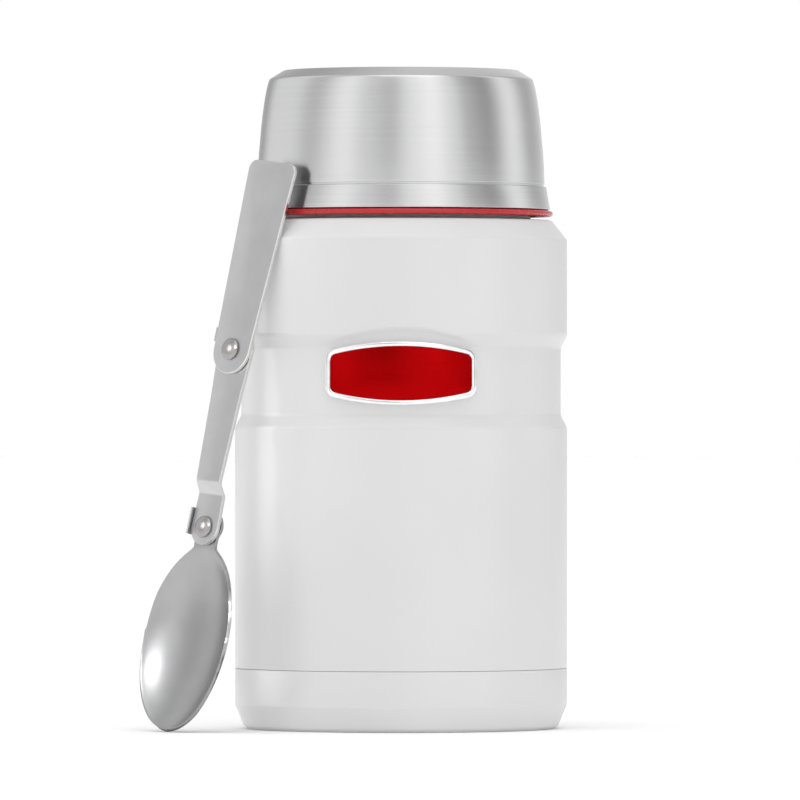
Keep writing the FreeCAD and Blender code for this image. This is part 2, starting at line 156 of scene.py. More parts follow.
# Folding spoon, in its own frame
PLATE_T = 1.3
PLATE_GAP = 0.25
HANDLE_L = 57.6
HANDLE_END_R = 7.4
HANDLE_TOP_HALF_W = 9.8
HANDLE_CORNER = 3.0
HANDLE_CANT = 1.5
SHANK_L = 53.4
SHANK_TOP_R = 7.0
SHANK_SHOULDER = (6.0, -14.0)
SHANK_WAIST_HALF_W = 4.8
SHANK_END_R = 5.4
JOG = 2.5
JOG_LOW = 10.1
JOG_HIGH = 13.4
JOG_LAG = 0.3
BEND_R = 1.6
BOWL_PLATE_R = 5.5
NECK_HALF_W = 4.3
NECK_L = 6.5
BOWL_HALF_W = 17.8
BOWL_TIP_L = 29.2
BOWL_NECK_L = 26.2
BOWL_DEPTH = 7.4
BOWL_WALL = 1.0
BOWL_STEEPNESS = 0.43
BOWL_RIM = 0.62
BOWL_BLUNTNESS = 2.15
BOWL_CANT = 0.6
NECK_EASE = 12.0
NECK_SOFTNESS = 1.6
NECK_BLEND = 3.0
HEAD_R = 3.3
HEAD_H = 1.6
TAIL_R = 2.7
TAIL_H = 0.9
RIVET_R = 1.6
TAB_T = 0.75
TAB_GAP = 0.2
TAB_Y = (2.0, 6.2)
TAB_RISE = 1.2
FLANGE_Y = (-2.7, 5.4)
FLANGE_RISE = 0.9


# Meshes

def piece(name, points, faces, crease=32.0):
    """A mesh object from points in millimetres, smooth except where it turns more than crease degrees."""
    mesh = bpy.data.meshes.new(name)
    mesh.from_pydata([Vector(p) * MM for p in points], [], faces)
    bm = bmesh.new()
    bm.from_mesh(mesh)
    bmesh.ops.remove_doubles(bm, verts=bm.verts, dist=1e-7)
    bmesh.ops.recalc_face_normals(bm, faces=bm.faces)
    bm.to_mesh(mesh)
    bm.free()
    obj = bpy.data.objects.new(name, mesh)
    scene.collection.objects.link(obj)
    shade(obj, crease)
    return obj


def shade(obj, crease):
    """Smooth shading, with a hard line along each edge that turns more than crease degrees."""
    bm = bmesh.new()
    bm.from_mesh(obj.data)
    for face in bm.faces:
        face.smooth = True
    for edge in bm.edges:
        if len(edge.link_faces) == 2:
            edge.smooth = edge.calc_face_angle(0) < math.radians(crease)
    bm.to_mesh(obj.data)
    bm.free()


def eased(share):
    """A share kept between 0 and 1 that starts and ends gently."""
    share = min(1.0, max(0.0, share))
    return share * share * (3 - 2 * share)


def rounded(corners, steps=5):
    """A run of (radius, height, corner radius) points with each corner rounded off by an arc."""
    out = []
    count = len(corners)
    for i, (x, z, fillet) in enumerate(corners):
        here = Vector((x, z))
        if not fillet:
            out.append((x, z))
            continue
        before = Vector(corners[i - 1][:2]) - here
        after = Vector(corners[(i + 1) % count][:2]) - here
        half = before.angle(after) / 2
        back = min(fillet / math.tan(half), before.length * 0.49, after.length * 0.49)
        radius = back * math.tan(half)
        before.normalize()
        after.normalize()
        start, end = here + before * back, here + after * back
        centre = here + (before + after).normalized() * radius / math.sin(half)
        a, b = start - centre, end - centre
        turn = a.angle_signed(b)
        for k in range(steps + 1):
            arm = a.copy()
            arm.rotate(Matrix.Rotation(-turn * k / steps, 2))
            out.append(tuple(centre + arm))
    return out


def lathe(name, profile, segments=192, form=None):
    """A turned piece. form, where given, gives a new radius for a point (radius, angle, height)."""
    points, faces, rings = [], [], []
    for r, z in profile:
        if r < 1e-6:
            rings.append([len(points)])
            points.append((0, 0, z))
            continue
        ring = []
        for k in range(segments):
            angle = 2 * math.pi * k / segments
            radius = form(r, angle, z) if form else r
            ring.append(len(points))
            points.append((radius * math.cos(angle), radius * math.sin(angle), z))
        rings.append(ring)
    for a, b in zip(rings, rings[1:] + rings[:1]):
        if len(a) == 1 and len(b) == 1:
            continue
        for k in range(segments):
            n = (k + 1) % segments
            if len(a) == 1:
                faces.append((a[0], b[n], b[k]))
            elif len(b) == 1:
                faces.append((a[k], a[n], b[0]))
            else:
                faces.append((a[k], a[n], b[n], b[k]))
    return piece(name, points, faces)


def thread(name, radius, low_z, turns, height, inward=False):
    """A screw ridge that winds up a wall and fades out at both ends."""
    steps, count = int(turns * THREAD_STEPS), len(THREAD_SECTION)
    points, faces = [], []
    side = -1 if inward else 1
    for i in range(steps + 1):
        share = i / steps
        angle = 2 * math.pi * turns * share
        fade = max(0.02, eased(min(share, 1 - share) * turns / THREAD_FADE_TURNS))
        z = low_z + THREAD_LEAD * turns * share
        for out, along in THREAD_SECTION:
            r = radius + side * height * (out * fade if out > 0 else out)
            points.append((r * math.cos(angle), r * math.sin(angle), z + along * THREAD_W))
    for i in range(steps):
        for j in range(count):
            a, b = i * count + j, i * count + (j + 1) % count
            faces.append((a, b, b + count, a + count))
    faces.append(tuple(range(count)))
    faces.append(tuple(range(steps * count, (steps + 1) * count)))
    return piece(name, points, faces, 60)


def apply_modifiers(obj):
    """Turns what the modifiers show into the piece's own mesh."""
    bpy.context.view_layer.update()
    graph = bpy.context.evaluated_depsgraph_get()
    mesh = bpy.data.meshes.new_from_object(obj.evaluated_get(graph))
    obj.modifiers.clear()
    obj.data = mesh


def combine(obj, other, how):
    """Adds another solid to this one, cuts it away or keeps what both share."""
    modifier = obj.modifiers.new("solid", "BOOLEAN")
    modifier.operation = how
    modifier.solver = "EXACT"
    modifier.object = other
    apply_modifiers(obj)
    bpy.data.objects.remove(other)


def ease_edges(obj, width, crease=35.0):
    """Breaks the sharp edges of a cut plate, as tumbling does."""
    modifier = obj.modifiers.new("edges", "BEVEL")
    modifier.width = width * MM
    modifier.segments = 3
    modifier.limit_method = "ANGLE"
    modifier.angle_limit = math.radians(crease)
    apply_modifiers(obj)
    shade(obj, 50)


def outline(corners, steps):
    """Points round a plate: (x, y, arc middle or None) corners, each arc through its middle point."""
    points = []
    for i, (x, y, mid) in enumerate(corners):
        x2, y2, _ = corners[(i + 1) % len(corners)]
        points.append((x, y))
        if not mid:
            continue
        a, b, c = Vector((x, y)), Vector(mid), Vector((x2, y2))
        centre = circle_centre(a, b, c)
        first, half = a - centre, (a - centre).angle_signed(b - centre)
        whole = half + (b - centre).angle_signed(c - centre)
        for k in range(1, steps):
            arm = first.copy()
            arm.rotate(Matrix.Rotation(-whole * k / steps, 2))
            points.append(tuple(centre + arm))
    return points


def circle_centre(a, b, c):
    """The middle of the circle through three points."""
    d = 2 * (a.x * (b.y - c.y) + b.x * (c.y - a.y) + c.x * (a.y - b.y))
    aa, bb, cc = a.length_squared, b.length_squared, c.length_squared
    x = (aa * (b.y - c.y) + bb * (c.y - a.y) + cc * (a.y - b.y)) / d
    y = (aa * (c.x - b.x) + bb * (a.x - c.x) + cc * (b.x - a.x)) / d
    return Vector((x, y))


def slab(name, points, low, high, axis="z"):
    """A flat plate between two planes, or a side profile stretched across x."""
    def at(p, level):
        return (p[0], p[1], level) if axis == "z" else (level, p[0], p[1])
    count = len(points)
    corners = [at(p, low) for p in points] + [at(p, high) for p in points]
    faces = [tuple(range(count)), tuple(range(count, 2 * count))]
    faces += [(i, (i + 1) % count, count + (i + 1) % count, count + i) for i in range(count)]
    return piece(name, corners, faces)


def block(x, y, z):
    """A brick, from the two ends of its width, length and height."""
    return slab("block", [(x[0], y[0]), (x[1], y[0]), (x[1], y[1]), (x[0], y[1])], z[0], z[1])


# Materials

def srgb(code):
    """A colour picked in sRGB, turned to the linear values that the shader takes."""
    parts = [int(code[i:i + 2], 16) / 255 for i in (1, 3, 5)]
    return tuple(c / 12.92 if c <= 0.04045 else ((c + 0.055) / 1.055) ** 2.4 for c in parts) + (1.0,)


def add(tree, kind, links=None, **settings):
    """One node, with its settings, and the values or outputs that its inputs take."""
    node = tree.nodes.new(kind)
    for key, value in settings.items():
        setattr(node, key, value)
    for key, value in (links or {}).items():
        if isinstance(value, bpy.types.NodeSocket):
            tree.links.new(value, node.inputs[key])
        else:
            node.inputs[key].default_value = value
    return node


def material(name):
    """An empty material and its node tree."""
    made = bpy.data.materials.new(name)
    made.use_nodes = True
    made.node_tree.nodes.clear()
    return made, made.node_tree


def surface(made, tree, links, normal=None):
    """Ends a material with its shader."""
    shader = add(tree, "ShaderNodeBsdfPrincipled", links)
    if normal:
        tree.links.new(normal, shader.inputs["Normal"])
    add(tree, "ShaderNodeOutputMaterial", {"Surface": shader.outputs["BSDF"]})
    return made


def tinted(tree, fac, dark, light):
    """A colour that drifts between two near shades as the pattern does."""
    ramp = add(tree, "ShaderNodeValToRGB", {"Fac": fac})
    for stop, position, shade_code in zip(ramp.color_ramp.elements, (0.3, 0.7), (dark, light)):
        stop.position = position
        stop.color = srgb(shade_code)
    return ramp.outputs["Color"]


def per_metre(size_mm):
    """A pattern's scale, from the size in millimetres of one of its features."""
    return 1000.0 / size_mm


def baked_powder_coat():
    """Steel sprayed with satin polyester powder and baked: an even pale grey with a low, soft
    sheen and a very fine orange peel."""
    made, tree = material("baked_powder_coat")
    place = add(tree, "ShaderNodeTexCoord").outputs["Object"]
    peel = add(tree, "ShaderNodeTexNoise", {"Vector": place, "Scale": per_metre(0.9), "Detail": 2.0})
    cloud = add(tree, "ShaderNodeTexNoise", {"Vector": place, "Scale": per_metre(40.0), "Detail": 1.0})
    colour = tinted(tree, cloud.outputs["Fac"], "#CDCDCD", "#D0D0D0")
    rough = add(tree, "ShaderNodeMapRange", {"Value": peel.outputs["Fac"], "To Min": 0.34, "To Max": 0.42})
    bump = add(tree, "ShaderNodeBump", {"Height": peel.outputs["Fac"], "Strength": 0.06, "Distance": 0.00006})
    return surface(made, tree, {"Base Color": colour, "Roughness": rough.outputs["Result"], "IOR": 1.5,
                                "Coat Weight": 0.35, "Coat Roughness": 0.22}, bump.outputs["Normal"])


def lathe_brushed_stainless():
    """18/8 stainless spun in a lathe against an abrasive belt: hair lines run round it, so the light
    spreads up and down and the room shows as upright bands."""
    made, tree = material("lathe_brushed_stainless")
    place = add(tree, "ShaderNodeTexCoord").outputs["Object"]
    # The hair lines are about 0.05 mm apart; they are drawn 0.3 mm apart so that they show.
    stretched = add(tree, "ShaderNodeVectorMath", {0: place, 1: (18.0, 18.0, per_metre(0.3))},
                    operation="MULTIPLY")
    hair = add(tree, "ShaderNodeTexNoise", {"Vector": stretched.outputs["Vector"], "Scale": 1.0,
                                            "Detail": 3.0, "Roughness": 0.6})
    colour = tinted(tree, hair.outputs["Fac"], "#D5D5D6", "#D9D9DA")
    rough = add(tree, "ShaderNodeMapRange", {"Value": hair.outputs["Fac"], "To Min": 0.23, "To Max": 0.28})
    bump = add(tree, "ShaderNodeBump", {"Height": hair.outputs["Fac"], "Strength": 0.02, "Distance": 0.00003})
    tangent = add(tree, "ShaderNodeTangent", direction_type="RADIAL", axis="Z")
    return surface(made, tree, {"Base Color": colour, "Metallic": 1.0, "Roughness": rough.outputs["Result"],
                                "Anisotropic": 0.5, "Anisotropic Rotation": 0.25,
                                "Tangent": tangent.outputs["Tangent"]}, bump.outputs["Normal"])


def satin_stainless(name, dark, light, rough_low, rough_high, grain_mm=0.45):
    """Stamped 18/0 stainless, tumbled and belt-finished: an even grey satin, slightly cloudy, with a
    faint grain that runs every way."""
    made, tree = material(name)
    place = add(tree, "ShaderNodeTexCoord").outputs["Object"]
    grain = add(tree, "ShaderNodeTexNoise", {"Vector": place, "Scale": per_metre(grain_mm), "Detail": 4.0,
                                             "Roughness": 0.65})
    smear = add(tree, "ShaderNodeTexNoise", {"Vector": place, "Scale": per_metre(9.0), "Detail": 2.0})
    colour = tinted(tree, smear.outputs["Fac"], dark, light)
    rough = add(tree, "ShaderNodeMapRange", {"Value": grain.outputs["Fac"], "To Min": rough_low,
                                             "To Max": rough_high})
    bump = add(tree, "ShaderNodeBump", {"Height": grain.outputs["Fac"], "Strength": 0.08,
                                        "Distance": 0.00004})
    return surface(made, tree, {"Base Color": colour, "Metallic": 1.0,
                                "Roughness": rough.outputs["Result"]}, bump.outputs["Normal"])


def moulded_plastic(name, dark, light, rough, grain_mm=0.6, relief=0.05):
    """Injection-moulded polypropylene: an even colour, a faint spark-eroded grain and a soft sheen."""
    made, tree = material(name)
    place = add(tree, "ShaderNodeTexCoord").outputs["Object"]
    grain = add(tree, "ShaderNodeTexNoise", {"Vector": place, "Scale": per_metre(grain_mm), "Detail": 3.0})
    flow = add(tree, "ShaderNodeTexNoise", {"Vector": place, "Scale": per_metre(25.0), "Detail": 1.0})
    colour = tinted(tree, flow.outputs["Fac"], dark, light)
    spread = add(tree, "ShaderNodeMapRange", {"Value": grain.outputs["Fac"], "To Min": rough - 0.06,
                                              "To Max": rough + 0.06})
    bump = add(tree, "ShaderNodeBump", {"Height": grain.outputs["Fac"], "Strength": relief,
                                        "Distance": 0.00005})
    return surface(made, tree, {"Base Color": colour, "Roughness": spread.outputs["Result"], "IOR": 1.49},
                   bump.outputs["Normal"])


def plated_chrome():
    """Bright chromium on moulded ABS: nearly a mirror, with a trace of haze from the plating."""
    made, tree = material("plated_chrome")
    place = add(tree, "ShaderNodeTexCoord").outputs["Object"]
    haze = add(tree, "ShaderNodeTexNoise", {"Vector": place, "Scale": per_metre(3.0), "Detail": 2.0})
    colour = tinted(tree, haze.outputs["Fac"], "#EDEEF0", "#F6F6F7")
    rough = add(tree, "ShaderNodeMapRange", {"Value": haze.outputs["Fac"], "To Min": 0.10, "To Max": 0.17})
    return surface(made, tree, {"Base Color": colour, "Metallic": 1.0, "Roughness": rough.outputs["Result"]})


def red_enamel():
    """Clear red lacquer over a bright plate: the metal shines through it, so even the reflections
    are deep red."""
    made, tree = material("red_enamel")
    place = add(tree, "ShaderNodeTexCoord").outputs["Object"]
    depth = add(tree, "ShaderNodeTexNoise", {"Vector": place, "Scale": per_metre(14.0), "Detail": 1.0})
    colour = tinted(tree, depth.outputs["Fac"], "#A60003", "#AE0306")
    flow = add(tree, "ShaderNodeTexNoise", {"Vector": place, "Scale": per_metre(6.0), "Detail": 1.0})
    bump = add(tree, "ShaderNodeBump", {"Height": flow.outputs["Fac"], "Strength": 0.05,
                                        "Distance": 0.0002})
    return surface(made, tree, {"Base Color": colour, "Metallic": 1.0, "Roughness": 0.22,
                                "Coat Weight": 0.03, "Coat Roughness": 0.05}, bump.outputs["Normal"])


def studio_floor():
    """Matt white card: even, with a faint tooth."""
    made, tree = material("white_card")
    place = add(tree, "ShaderNodeTexCoord").outputs["Object"]
    tooth = add(tree, "ShaderNodeTexNoise", {"Vector": place, "Scale": per_metre(2.0), "Detail": 2.0})
    colour = tinted(tree, tooth.outputs["Fac"], "#F7F7F7", "#FAFAFA")
    return surface(made, tree, {"Base Color": colour, "Roughness": 0.9})


PAINT = baked_powder_coat()
LID_STEEL = lathe_brushed_stainless()
SPOON_STEEL = satin_stainless("satin_stainless", "#C9C9CA", "#D0D0D1", 0.28, 0.38)
# Painted shade: the bowl takes a darker copy of the spoon's steel, for the darker look of its hollow.
BOWL_SHADED_STEEL = satin_stainless("pressed_stainless_painted_shade", "#AAAAAB", "#B0B0B1", 0.30, 0.38)
# Painted shade: the rivet heads take a darker copy of the spoon's steel, for the darker sides of their domes.
RIVET_SHADED_STEEL = satin_stainless("rivet_stainless_painted_shade", "#A5A3A2", "#ADABAA", 0.22, 0.30)
# Painted highlight: a brighter copy of the spoon's steel for the plates' cut edges and the stop flange.
EDGE_HIGHLIGHT_STEEL = satin_stainless("edge_highlight_painted_stainless", "#E2E1E0", "#E9E8E7", 0.14, 0.22)
VESSEL_STEEL = satin_stainless("electropolished_stainless", "#D2D2D0", "#DCDCDA", 0.20, 0.30, 1.2)
FOIL = satin_stainless("rolled_foil", "#DCDCDE", "#E6E6E8", 0.15, 0.3, 2.5)
CHROME = plated_chrome()
ENAMEL = red_enamel()
RED_TRIM = moulded_plastic("red_moulded_trim", "#B61B22", "#BD2027", 0.27, 4.0, 0.01)
DARK_PLASTIC = moulded_plastic("dark_moulded_plastic", "#2E2F31", "#343538", 0.46)
LINER_PLASTIC = moulded_plastic("satin_moulded_liner", "#3A3B3D", "#404144", 0.38)
BASE_PLASTIC = moulded_plastic("grey_moulded_base", "#B5B5B5", "#B8B8B8", 0.5)
FOAM = moulded_plastic("cut_closed_cell_foam", "#E6E2D8", "#EFECE4", 0.85, 0.9)
SILICONE = moulded_plastic("moulded_silicone", "#C8C8C4", "#D0D0CC", 0.42)


def dress(obj, finish, body, slot, *stands_for):
    """Gives a piece its finish and body, and names the CAD nodes that it stands for. The slot is not used."""
    obj.data.materials.clear()
    obj.data.materials.append(finish)
    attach(obj, body)
    if stands_for:
        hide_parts(*stands_for)


def paint_edge_highlight(obj):
    """A painted highlight: the cut edges of the spoon's plates take a brighter copy of the steel."""
    out = SPOON_PLACE.to_3x3() @ Vector((0, 0, 1))
    obj.data.materials.append(EDGE_HIGHLIGHT_STEEL)
    for face in obj.data.polygons:
        if abs(face.normal.dot(out)) < 0.75:
            face.material_index = 1


# Jar

def arch_z(x):
    """The height of the arch over the badge, x to the side of its middle."""
    rise = ARCH_PEAK_Z - ARCH_FOOT_Z
    radius = (ARCH_HALF_W ** 2 + rise ** 2) / (2 * rise)
    if abs(x) >= radius:
        return -1000.0
    return ARCH_PEAK_Z - radius + math.sqrt(radius ** 2 - x ** 2)


def pressed(r, angle, z):
    """The casing's skin with the arch over the badge pressed in."""
    x, front = r * math.cos(angle), math.sin(angle) < 0
    if not front or r < WAIST_R or abs(x) > ARCH_HALF_W * 1.3 or z < ARCH_SKIN[0]:
        return r
    return WAIST_R + (r - WAIST_R) * eased((z - arch_z(x)) / ARCH_SLOPE)


def finely(profile, low, high, step):
    """Adds points to a profile's long runs between two heights, so that the skin can be pressed."""
    out = []
    for (r1, z1), (r2, z2) in zip(profile, profile[1:]):
        out.append((r1, z1))
        if max(z1, z2) < low or min(z1, z2) > high or r1 < WAIST_R - 1 or r2 < WAIST_R - 1:
            continue
        count = int(abs(z2 - z1) / step)
        out += [(r1 + (r2 - r1) * k / count, z1 + (z2 - z1) * k / count) for k in range(1, count)]
    return out + [profile[-1]]


def outer_casing():
    """The steel casing, from the spigot that goes into the foot's cap up to the neck."""
    top = LIP_Z - VESSEL_T
    seam = SEAM_Z + SEAM_GAP / 2
    spigot_r, spigot_z = BODY_R - SPIGOT_STEP, seam - SPIGOT_H
    skin = rounded([
        (spigot_r, spigot_z, 0), (spigot_r, seam, 0), (BODY_R, seam, 0.15),
        (BODY_R, WAIST_LOW[0], 3.0), (WAIST_R, WAIST_LOW[1], 3.0), (WAIST_R, WAIST_HIGH[0], 3.0),
        (BODY_R, WAIST_HIGH[1], 3.0), (BODY_R, SHOULDER[0], 1.6), (SHOULDER_TOP_R, SHOULDER[1], 0.9),
        (NECK_R, SHOULDER[1], 0.8), (NECK_R, top, 0), (NECK_R - WALL, top, 0),
        (NECK_R - WALL, SHOULDER[1] - 1, 0)], 7)
    skin = finely(skin, *ARCH_SKIN, ARCH_SKIN_STEP)
    # The inside keeps clear of the arch, so it turns in higher up than the skin does.
    wide_r, waist_r, foot_r = BODY_R - WALL - 0.4, WAIST_R - WALL, spigot_r - SPIGOT_STEP
    inside = [(SHOULDER_TOP_R - 1.2, SHOULDER[1] - 1), (wide_r, SHOULDER[0] - 0.5), (wide_r, 124),
              (waist_r, 120), (waist_r, WAIST_LOW[1]), (wide_r, WAIST_LOW[0] - 1), (foot_r, 22),
              (foot_r, spigot_z)]
    dress(lathe("casing", skin + inside, 384, form=pressed), PAINT, "jar", "painted_steel", "outer_casing")


def base_cap():
    """The cap under the seam, with its chamfer, the ring that the jar stands on and the hollow in it."""
    top, hollow = SEAM_Z - SEAM_GAP / 2, FOOT_HOLLOW_Z
    profile = rounded([
        (0, hollow, 0), (FOOT_IN_R - 0.6, hollow, 0.2), (FOOT_IN_R, 0, 0.2), (FOOT_OUT_R, 0, 0.7),
        (FOOT_OUT_R + 1.2, 1.0, 0.8), (BODY_R, FOOT_CHAMFER_Z, 2.0), (BODY_R, top, 0.15),
        (BODY_R - WALL, top, 0), (BODY_R - WALL, FOOT_CHAMFER_Z + 0.4, 0), (FOOT_OUT_R + 0.3, 2 * hollow, 0),
        (0, 2 * hollow, 0)])
    dress(lathe("base_cap_skin", profile, 256), PAINT, "jar", "painted_steel", "base_cap")


def foot_plate():
    """The thin plate in the hollow."""
    r, low, high = FOOT_PLATE_R, 0.5, FOOT_HOLLOW_Z
    profile = rounded([(0, low, 0), (r - 0.4, low, 0.3), (r, low + 0.4, 0.2), (r, high, 0), (0, high, 0)])
    dress(lathe("foot_plate", profile, 160), BASE_PLASTIC, "jar", "base_plate", "base_disc")


def vessel():
    """The inner vessel: a rounded floor, an S-shaped shoulder, and a lip turned out over the neck."""
    low, high = VESSEL_SHOULDER
    drop, steps = (VESSEL_R - MOUTH_R) / 2, 12
    shoulder = [(MOUTH_R + drop * (1 + math.cos(math.pi * i / steps)), low + (high - low) * i / steps)
                for i in range(steps + 1)]
    floor_z, outer_r, outer_z = VESSEL_FLOOR_Z, VESSEL_R + VESSEL_T, VESSEL_FLOOR_Z - VESSEL_T
    inner = rounded([(0, floor_z, 0), (VESSEL_R, floor_z, VESSEL_CORNER), (VESSEL_R, low - 1, 0)], 10)
    lip = rounded([(MOUTH_R, high + 8, 0), (MOUTH_R, LIP_Z, 0.3), (NECK_R, LIP_Z, 0.3),
                   (NECK_R, LIP_Z - VESSEL_T, 0), (MOUTH_R + VESSEL_T, LIP_Z - VESSEL_T, 0)], 3)
    back = [(r + VESSEL_T, z) for r, z in reversed(shoulder)]
    outer = rounded([(outer_r, low - 2, 0), (outer_r, outer_z, VESSEL_CORNER), (0, outer_z, 0)], 10)
    dress(lathe("vessel", inner + shoulder + lip + back + outer, 160), VESSEL_STEEL, "jar", "bare_steel",
          "inner_vessel")


def cushion(inset):
    """The badge's outline seen from the front: both long edges crowned and the corners rounded."""
    half_w, half_h = BADGE_W / 2 - inset, BADGE_H / 2 - inset
    side = half_h - BADGE_CROWN
    fillet = max(0.4, BADGE_CORNER - inset)
    arc_r = (half_w ** 2 + BADGE_CROWN ** 2) / (2 * BADGE_CROWN)
    steps = 24
    top = []
    for k in range(steps + 1):
        x = half_w * (2 * k / steps - 1)
        z = side + BADGE_CROWN - arc_r + math.sqrt(arc_r ** 2 - x ** 2)
        top.append((x, z, fillet if k in (0, steps) else 0))
    loop = [Vector(p) for p in rounded_long(top[::-1] + [(x, -z, f) for x, z, f in top])]
    lengths = [(loop[(i + 1) % len(loop)] - p).length for i, p in enumerate(loop)]
    total, out, walked, i = sum(lengths), [], 0.0, 0
    for k in range(BADGE_POINTS):
        target = total * k / BADGE_POINTS
        while walked + lengths[i] < target:
            walked += lengths[i]
            i += 1
        share = (target - walked) / lengths[i]
        out.append(loop[i].lerp(loop[(i + 1) % len(loop)], share))
    return out


def rounded_long(corners):
    """Rounds the four ends of the crowned edges, first dropping the points that the arc passes."""
    fillets = [(x, z) for x, z, f in corners if f]
    reach = max(f for _, _, f in corners) * 0.9
    kept = [(x, z, f) for x, z, f in corners
            if f or all((Vector((x, z)) - Vector(p)).length > reach * 2.2 for p in fillets)]
    return rounded(kept, 8)


def on_waist(x, z, proud):
    """A point of the badge, which lies proud of the waist and follows its curve."""
    return x, -math.sqrt((WAIST_R + proud) ** 2 - x ** 2), BADGE_Z + z


def band(a, b):
    """The faces between two rows of points round the badge, which start at a and b."""
    count = BADGE_POINTS
    return [(a + k, a + (k + 1) % count, b + (k + 1) % count, b + k) for k in range(count)]


def badge_bezel():
    """The bright rim: a rounded band round the badge, as (inset, height over the waist) sections."""
    sections = [(0.0, -0.05), (0.0, 0.9), (0.12, 1.3), (0.4, 1.6), (0.85, 1.7), (1.3, 1.58),
                (1.58, 1.3), (BEZEL_W, 0.95), (BEZEL_W, -0.05)]
    points = [on_waist(p.x, p.y, proud) for inset, proud in sections for p in cushion(inset)]
    faces = []
    for j in range(len(sections)):
        faces += band(j * BADGE_POINTS, (j + 1) % len(sections) * BADGE_POINTS)
    dress(piece("badge_rim", points, faces, 40), CHROME, "jar", "bezel_chrome", "badge_bezel")


def badge_panel():
    """The enamel, crowned a little in the middle by its own surface tension."""
    count, steps = BADGE_POINTS, 14
    rim = cushion(BEZEL_W - 0.02)
    points, faces = [], []
    for j in range(steps):
        share = 1 - j / steps
        proud = ENAMEL_EDGE + ENAMEL_CROWN * (1 - share ** 4)
        points += [on_waist(p.x * share, p.y * share, proud) for p in rim]
    for j in range(steps - 1):
        faces += band(j * count, (j + 1) * count)
    middle, last = len(points), (steps - 1) * count
    points.append(on_waist(0, 0, ENAMEL_EDGE + ENAMEL_CROWN))
    faces += [(last + k, last + (k + 1) % count, middle) for k in range(count)]
    back = len(points)
    points += [on_waist(p.x, p.y, 0) for p in rim]
    faces += band(back, 0)
    faces.append(tuple(back + k for k in reversed(range(count))))
    dress(piece("enamel_panel", points, faces, 60), ENAMEL, "jar", "red_enamel", "badge_panel")


# Stopper and lid

def fluted(r, angle, z):
    """Finger flutes round the grip."""
    if r < FLUTE_IN_R or z < FLUTE_LOW_Z:
        return r
    wave = max(0.0, math.cos(FLUTES * angle)) ** 2
    return r - FLUTE_DEPTH * wave * min(1.0, (z - FLUTE_LOW_Z) / FLUTE_FADE)


def plug():
    """The hollow plug with the flange that presses the seal on the vessel's lip."""
    chamfer, inner_r, floor_z = 2.0, PLUG_R - PLUG_WALL, PLUG_LOW_Z + PLUG_WALL
    profile = rounded([
        (0, PLUG_LOW_Z, 0), (PLUG_R - chamfer, PLUG_LOW_Z, 1.0), (PLUG_R, PLUG_LOW_Z + chamfer, 1.0),
        (PLUG_R, FLANGE_Z, 0.4), (FLANGE_R, FLANGE_Z, 0.4), (FLANGE_R, FLANGE_TOP_Z, 0),
        (inner_r, FLANGE_TOP_Z, 0), (inner_r, floor_z, 0), (0, floor_z, 0)])
    dress(lathe("plug", profile), DARK_PLASTIC, "stopper", "stopper_plastic", "stopper_body")


def grip():
    """The fluted grip round the tray that the folded spoon lies in."""
    collar_r, steps = PLUG_R - PLUG_WALL - 0.1, 10
    cover = rounded([
        (0, GRIP_LOW_Z, 0), (collar_r, GRIP_LOW_Z, 0), (collar_r, FLANGE_TOP_Z, 0),
        (FLANGE_R, FLANGE_TOP_Z, 0.1), (FLANGE_R, FLANGE_TOP_Z + 2.0, 0.6), (GRIP_R, FLANGE_TOP_Z + 3.2, 1.0),
        (GRIP_R - 0.4, GRIP_TOP_Z - 1.4, 0), (GRIP_R - 0.5, GRIP_TOP_Z, 1.2),
        (TRAY_R + 0.4, GRIP_TOP_Z, 0.5), (TRAY_R, GRIP_TOP_Z - 0.6, 0), (TRAY_R, TRAY_FLOOR_Z, 2.0),
        (0, TRAY_FLOOR_Z, 0)])
    profile = []
    for (r1, z1), (r2, z2) in zip(cover, cover[1:]):
        profile.append((r1, z1))
        # The tall outer side gets points on its way up, so that the flutes can fade out in it.
        if min(r1, r2) > FLUTE_IN_R and abs(z2 - z1) > 4:
            profile += [(r1 + (r2 - r1) * k / steps, z1 + (z2 - z1) * k / steps) for k in range(1, steps)]
    profile.append(cover[-1])
    dress(lathe("grip", profile, 288, form=fluted), DARK_PLASTIC, "stopper", "stopper_plastic",
          "stopper_cover")


def lip_seal():
    inside, outside = SEAL_R
    low, high = LIP_Z + 0.08, FLANGE_Z - 0.05
    shoulder = low + 0.72
    profile = rounded([(inside, high, 0), (inside, shoulder, 0.2), (inside + 0.75, low, 0.3),
                       (outside - 0.7, low, 0.3), (outside, shoulder, 0.2), (outside, high, 0)])
    dress(lathe("lip_seal", profile, 160), SILICONE, "stopper", "silicone", "stopper_seal")


def stopper_threads():
    dress(thread("plug_thread", PLUG_R, low_z=155.0, turns=1.6, height=0.85), DARK_PLASTIC, "stopper",
          "stopper_plastic")
    dress(thread("mouth_thread", MOUTH_R, low_z=158.0, turns=1.6, height=0.85, inward=True),
          VESSEL_STEEL, "jar", "bare_steel")


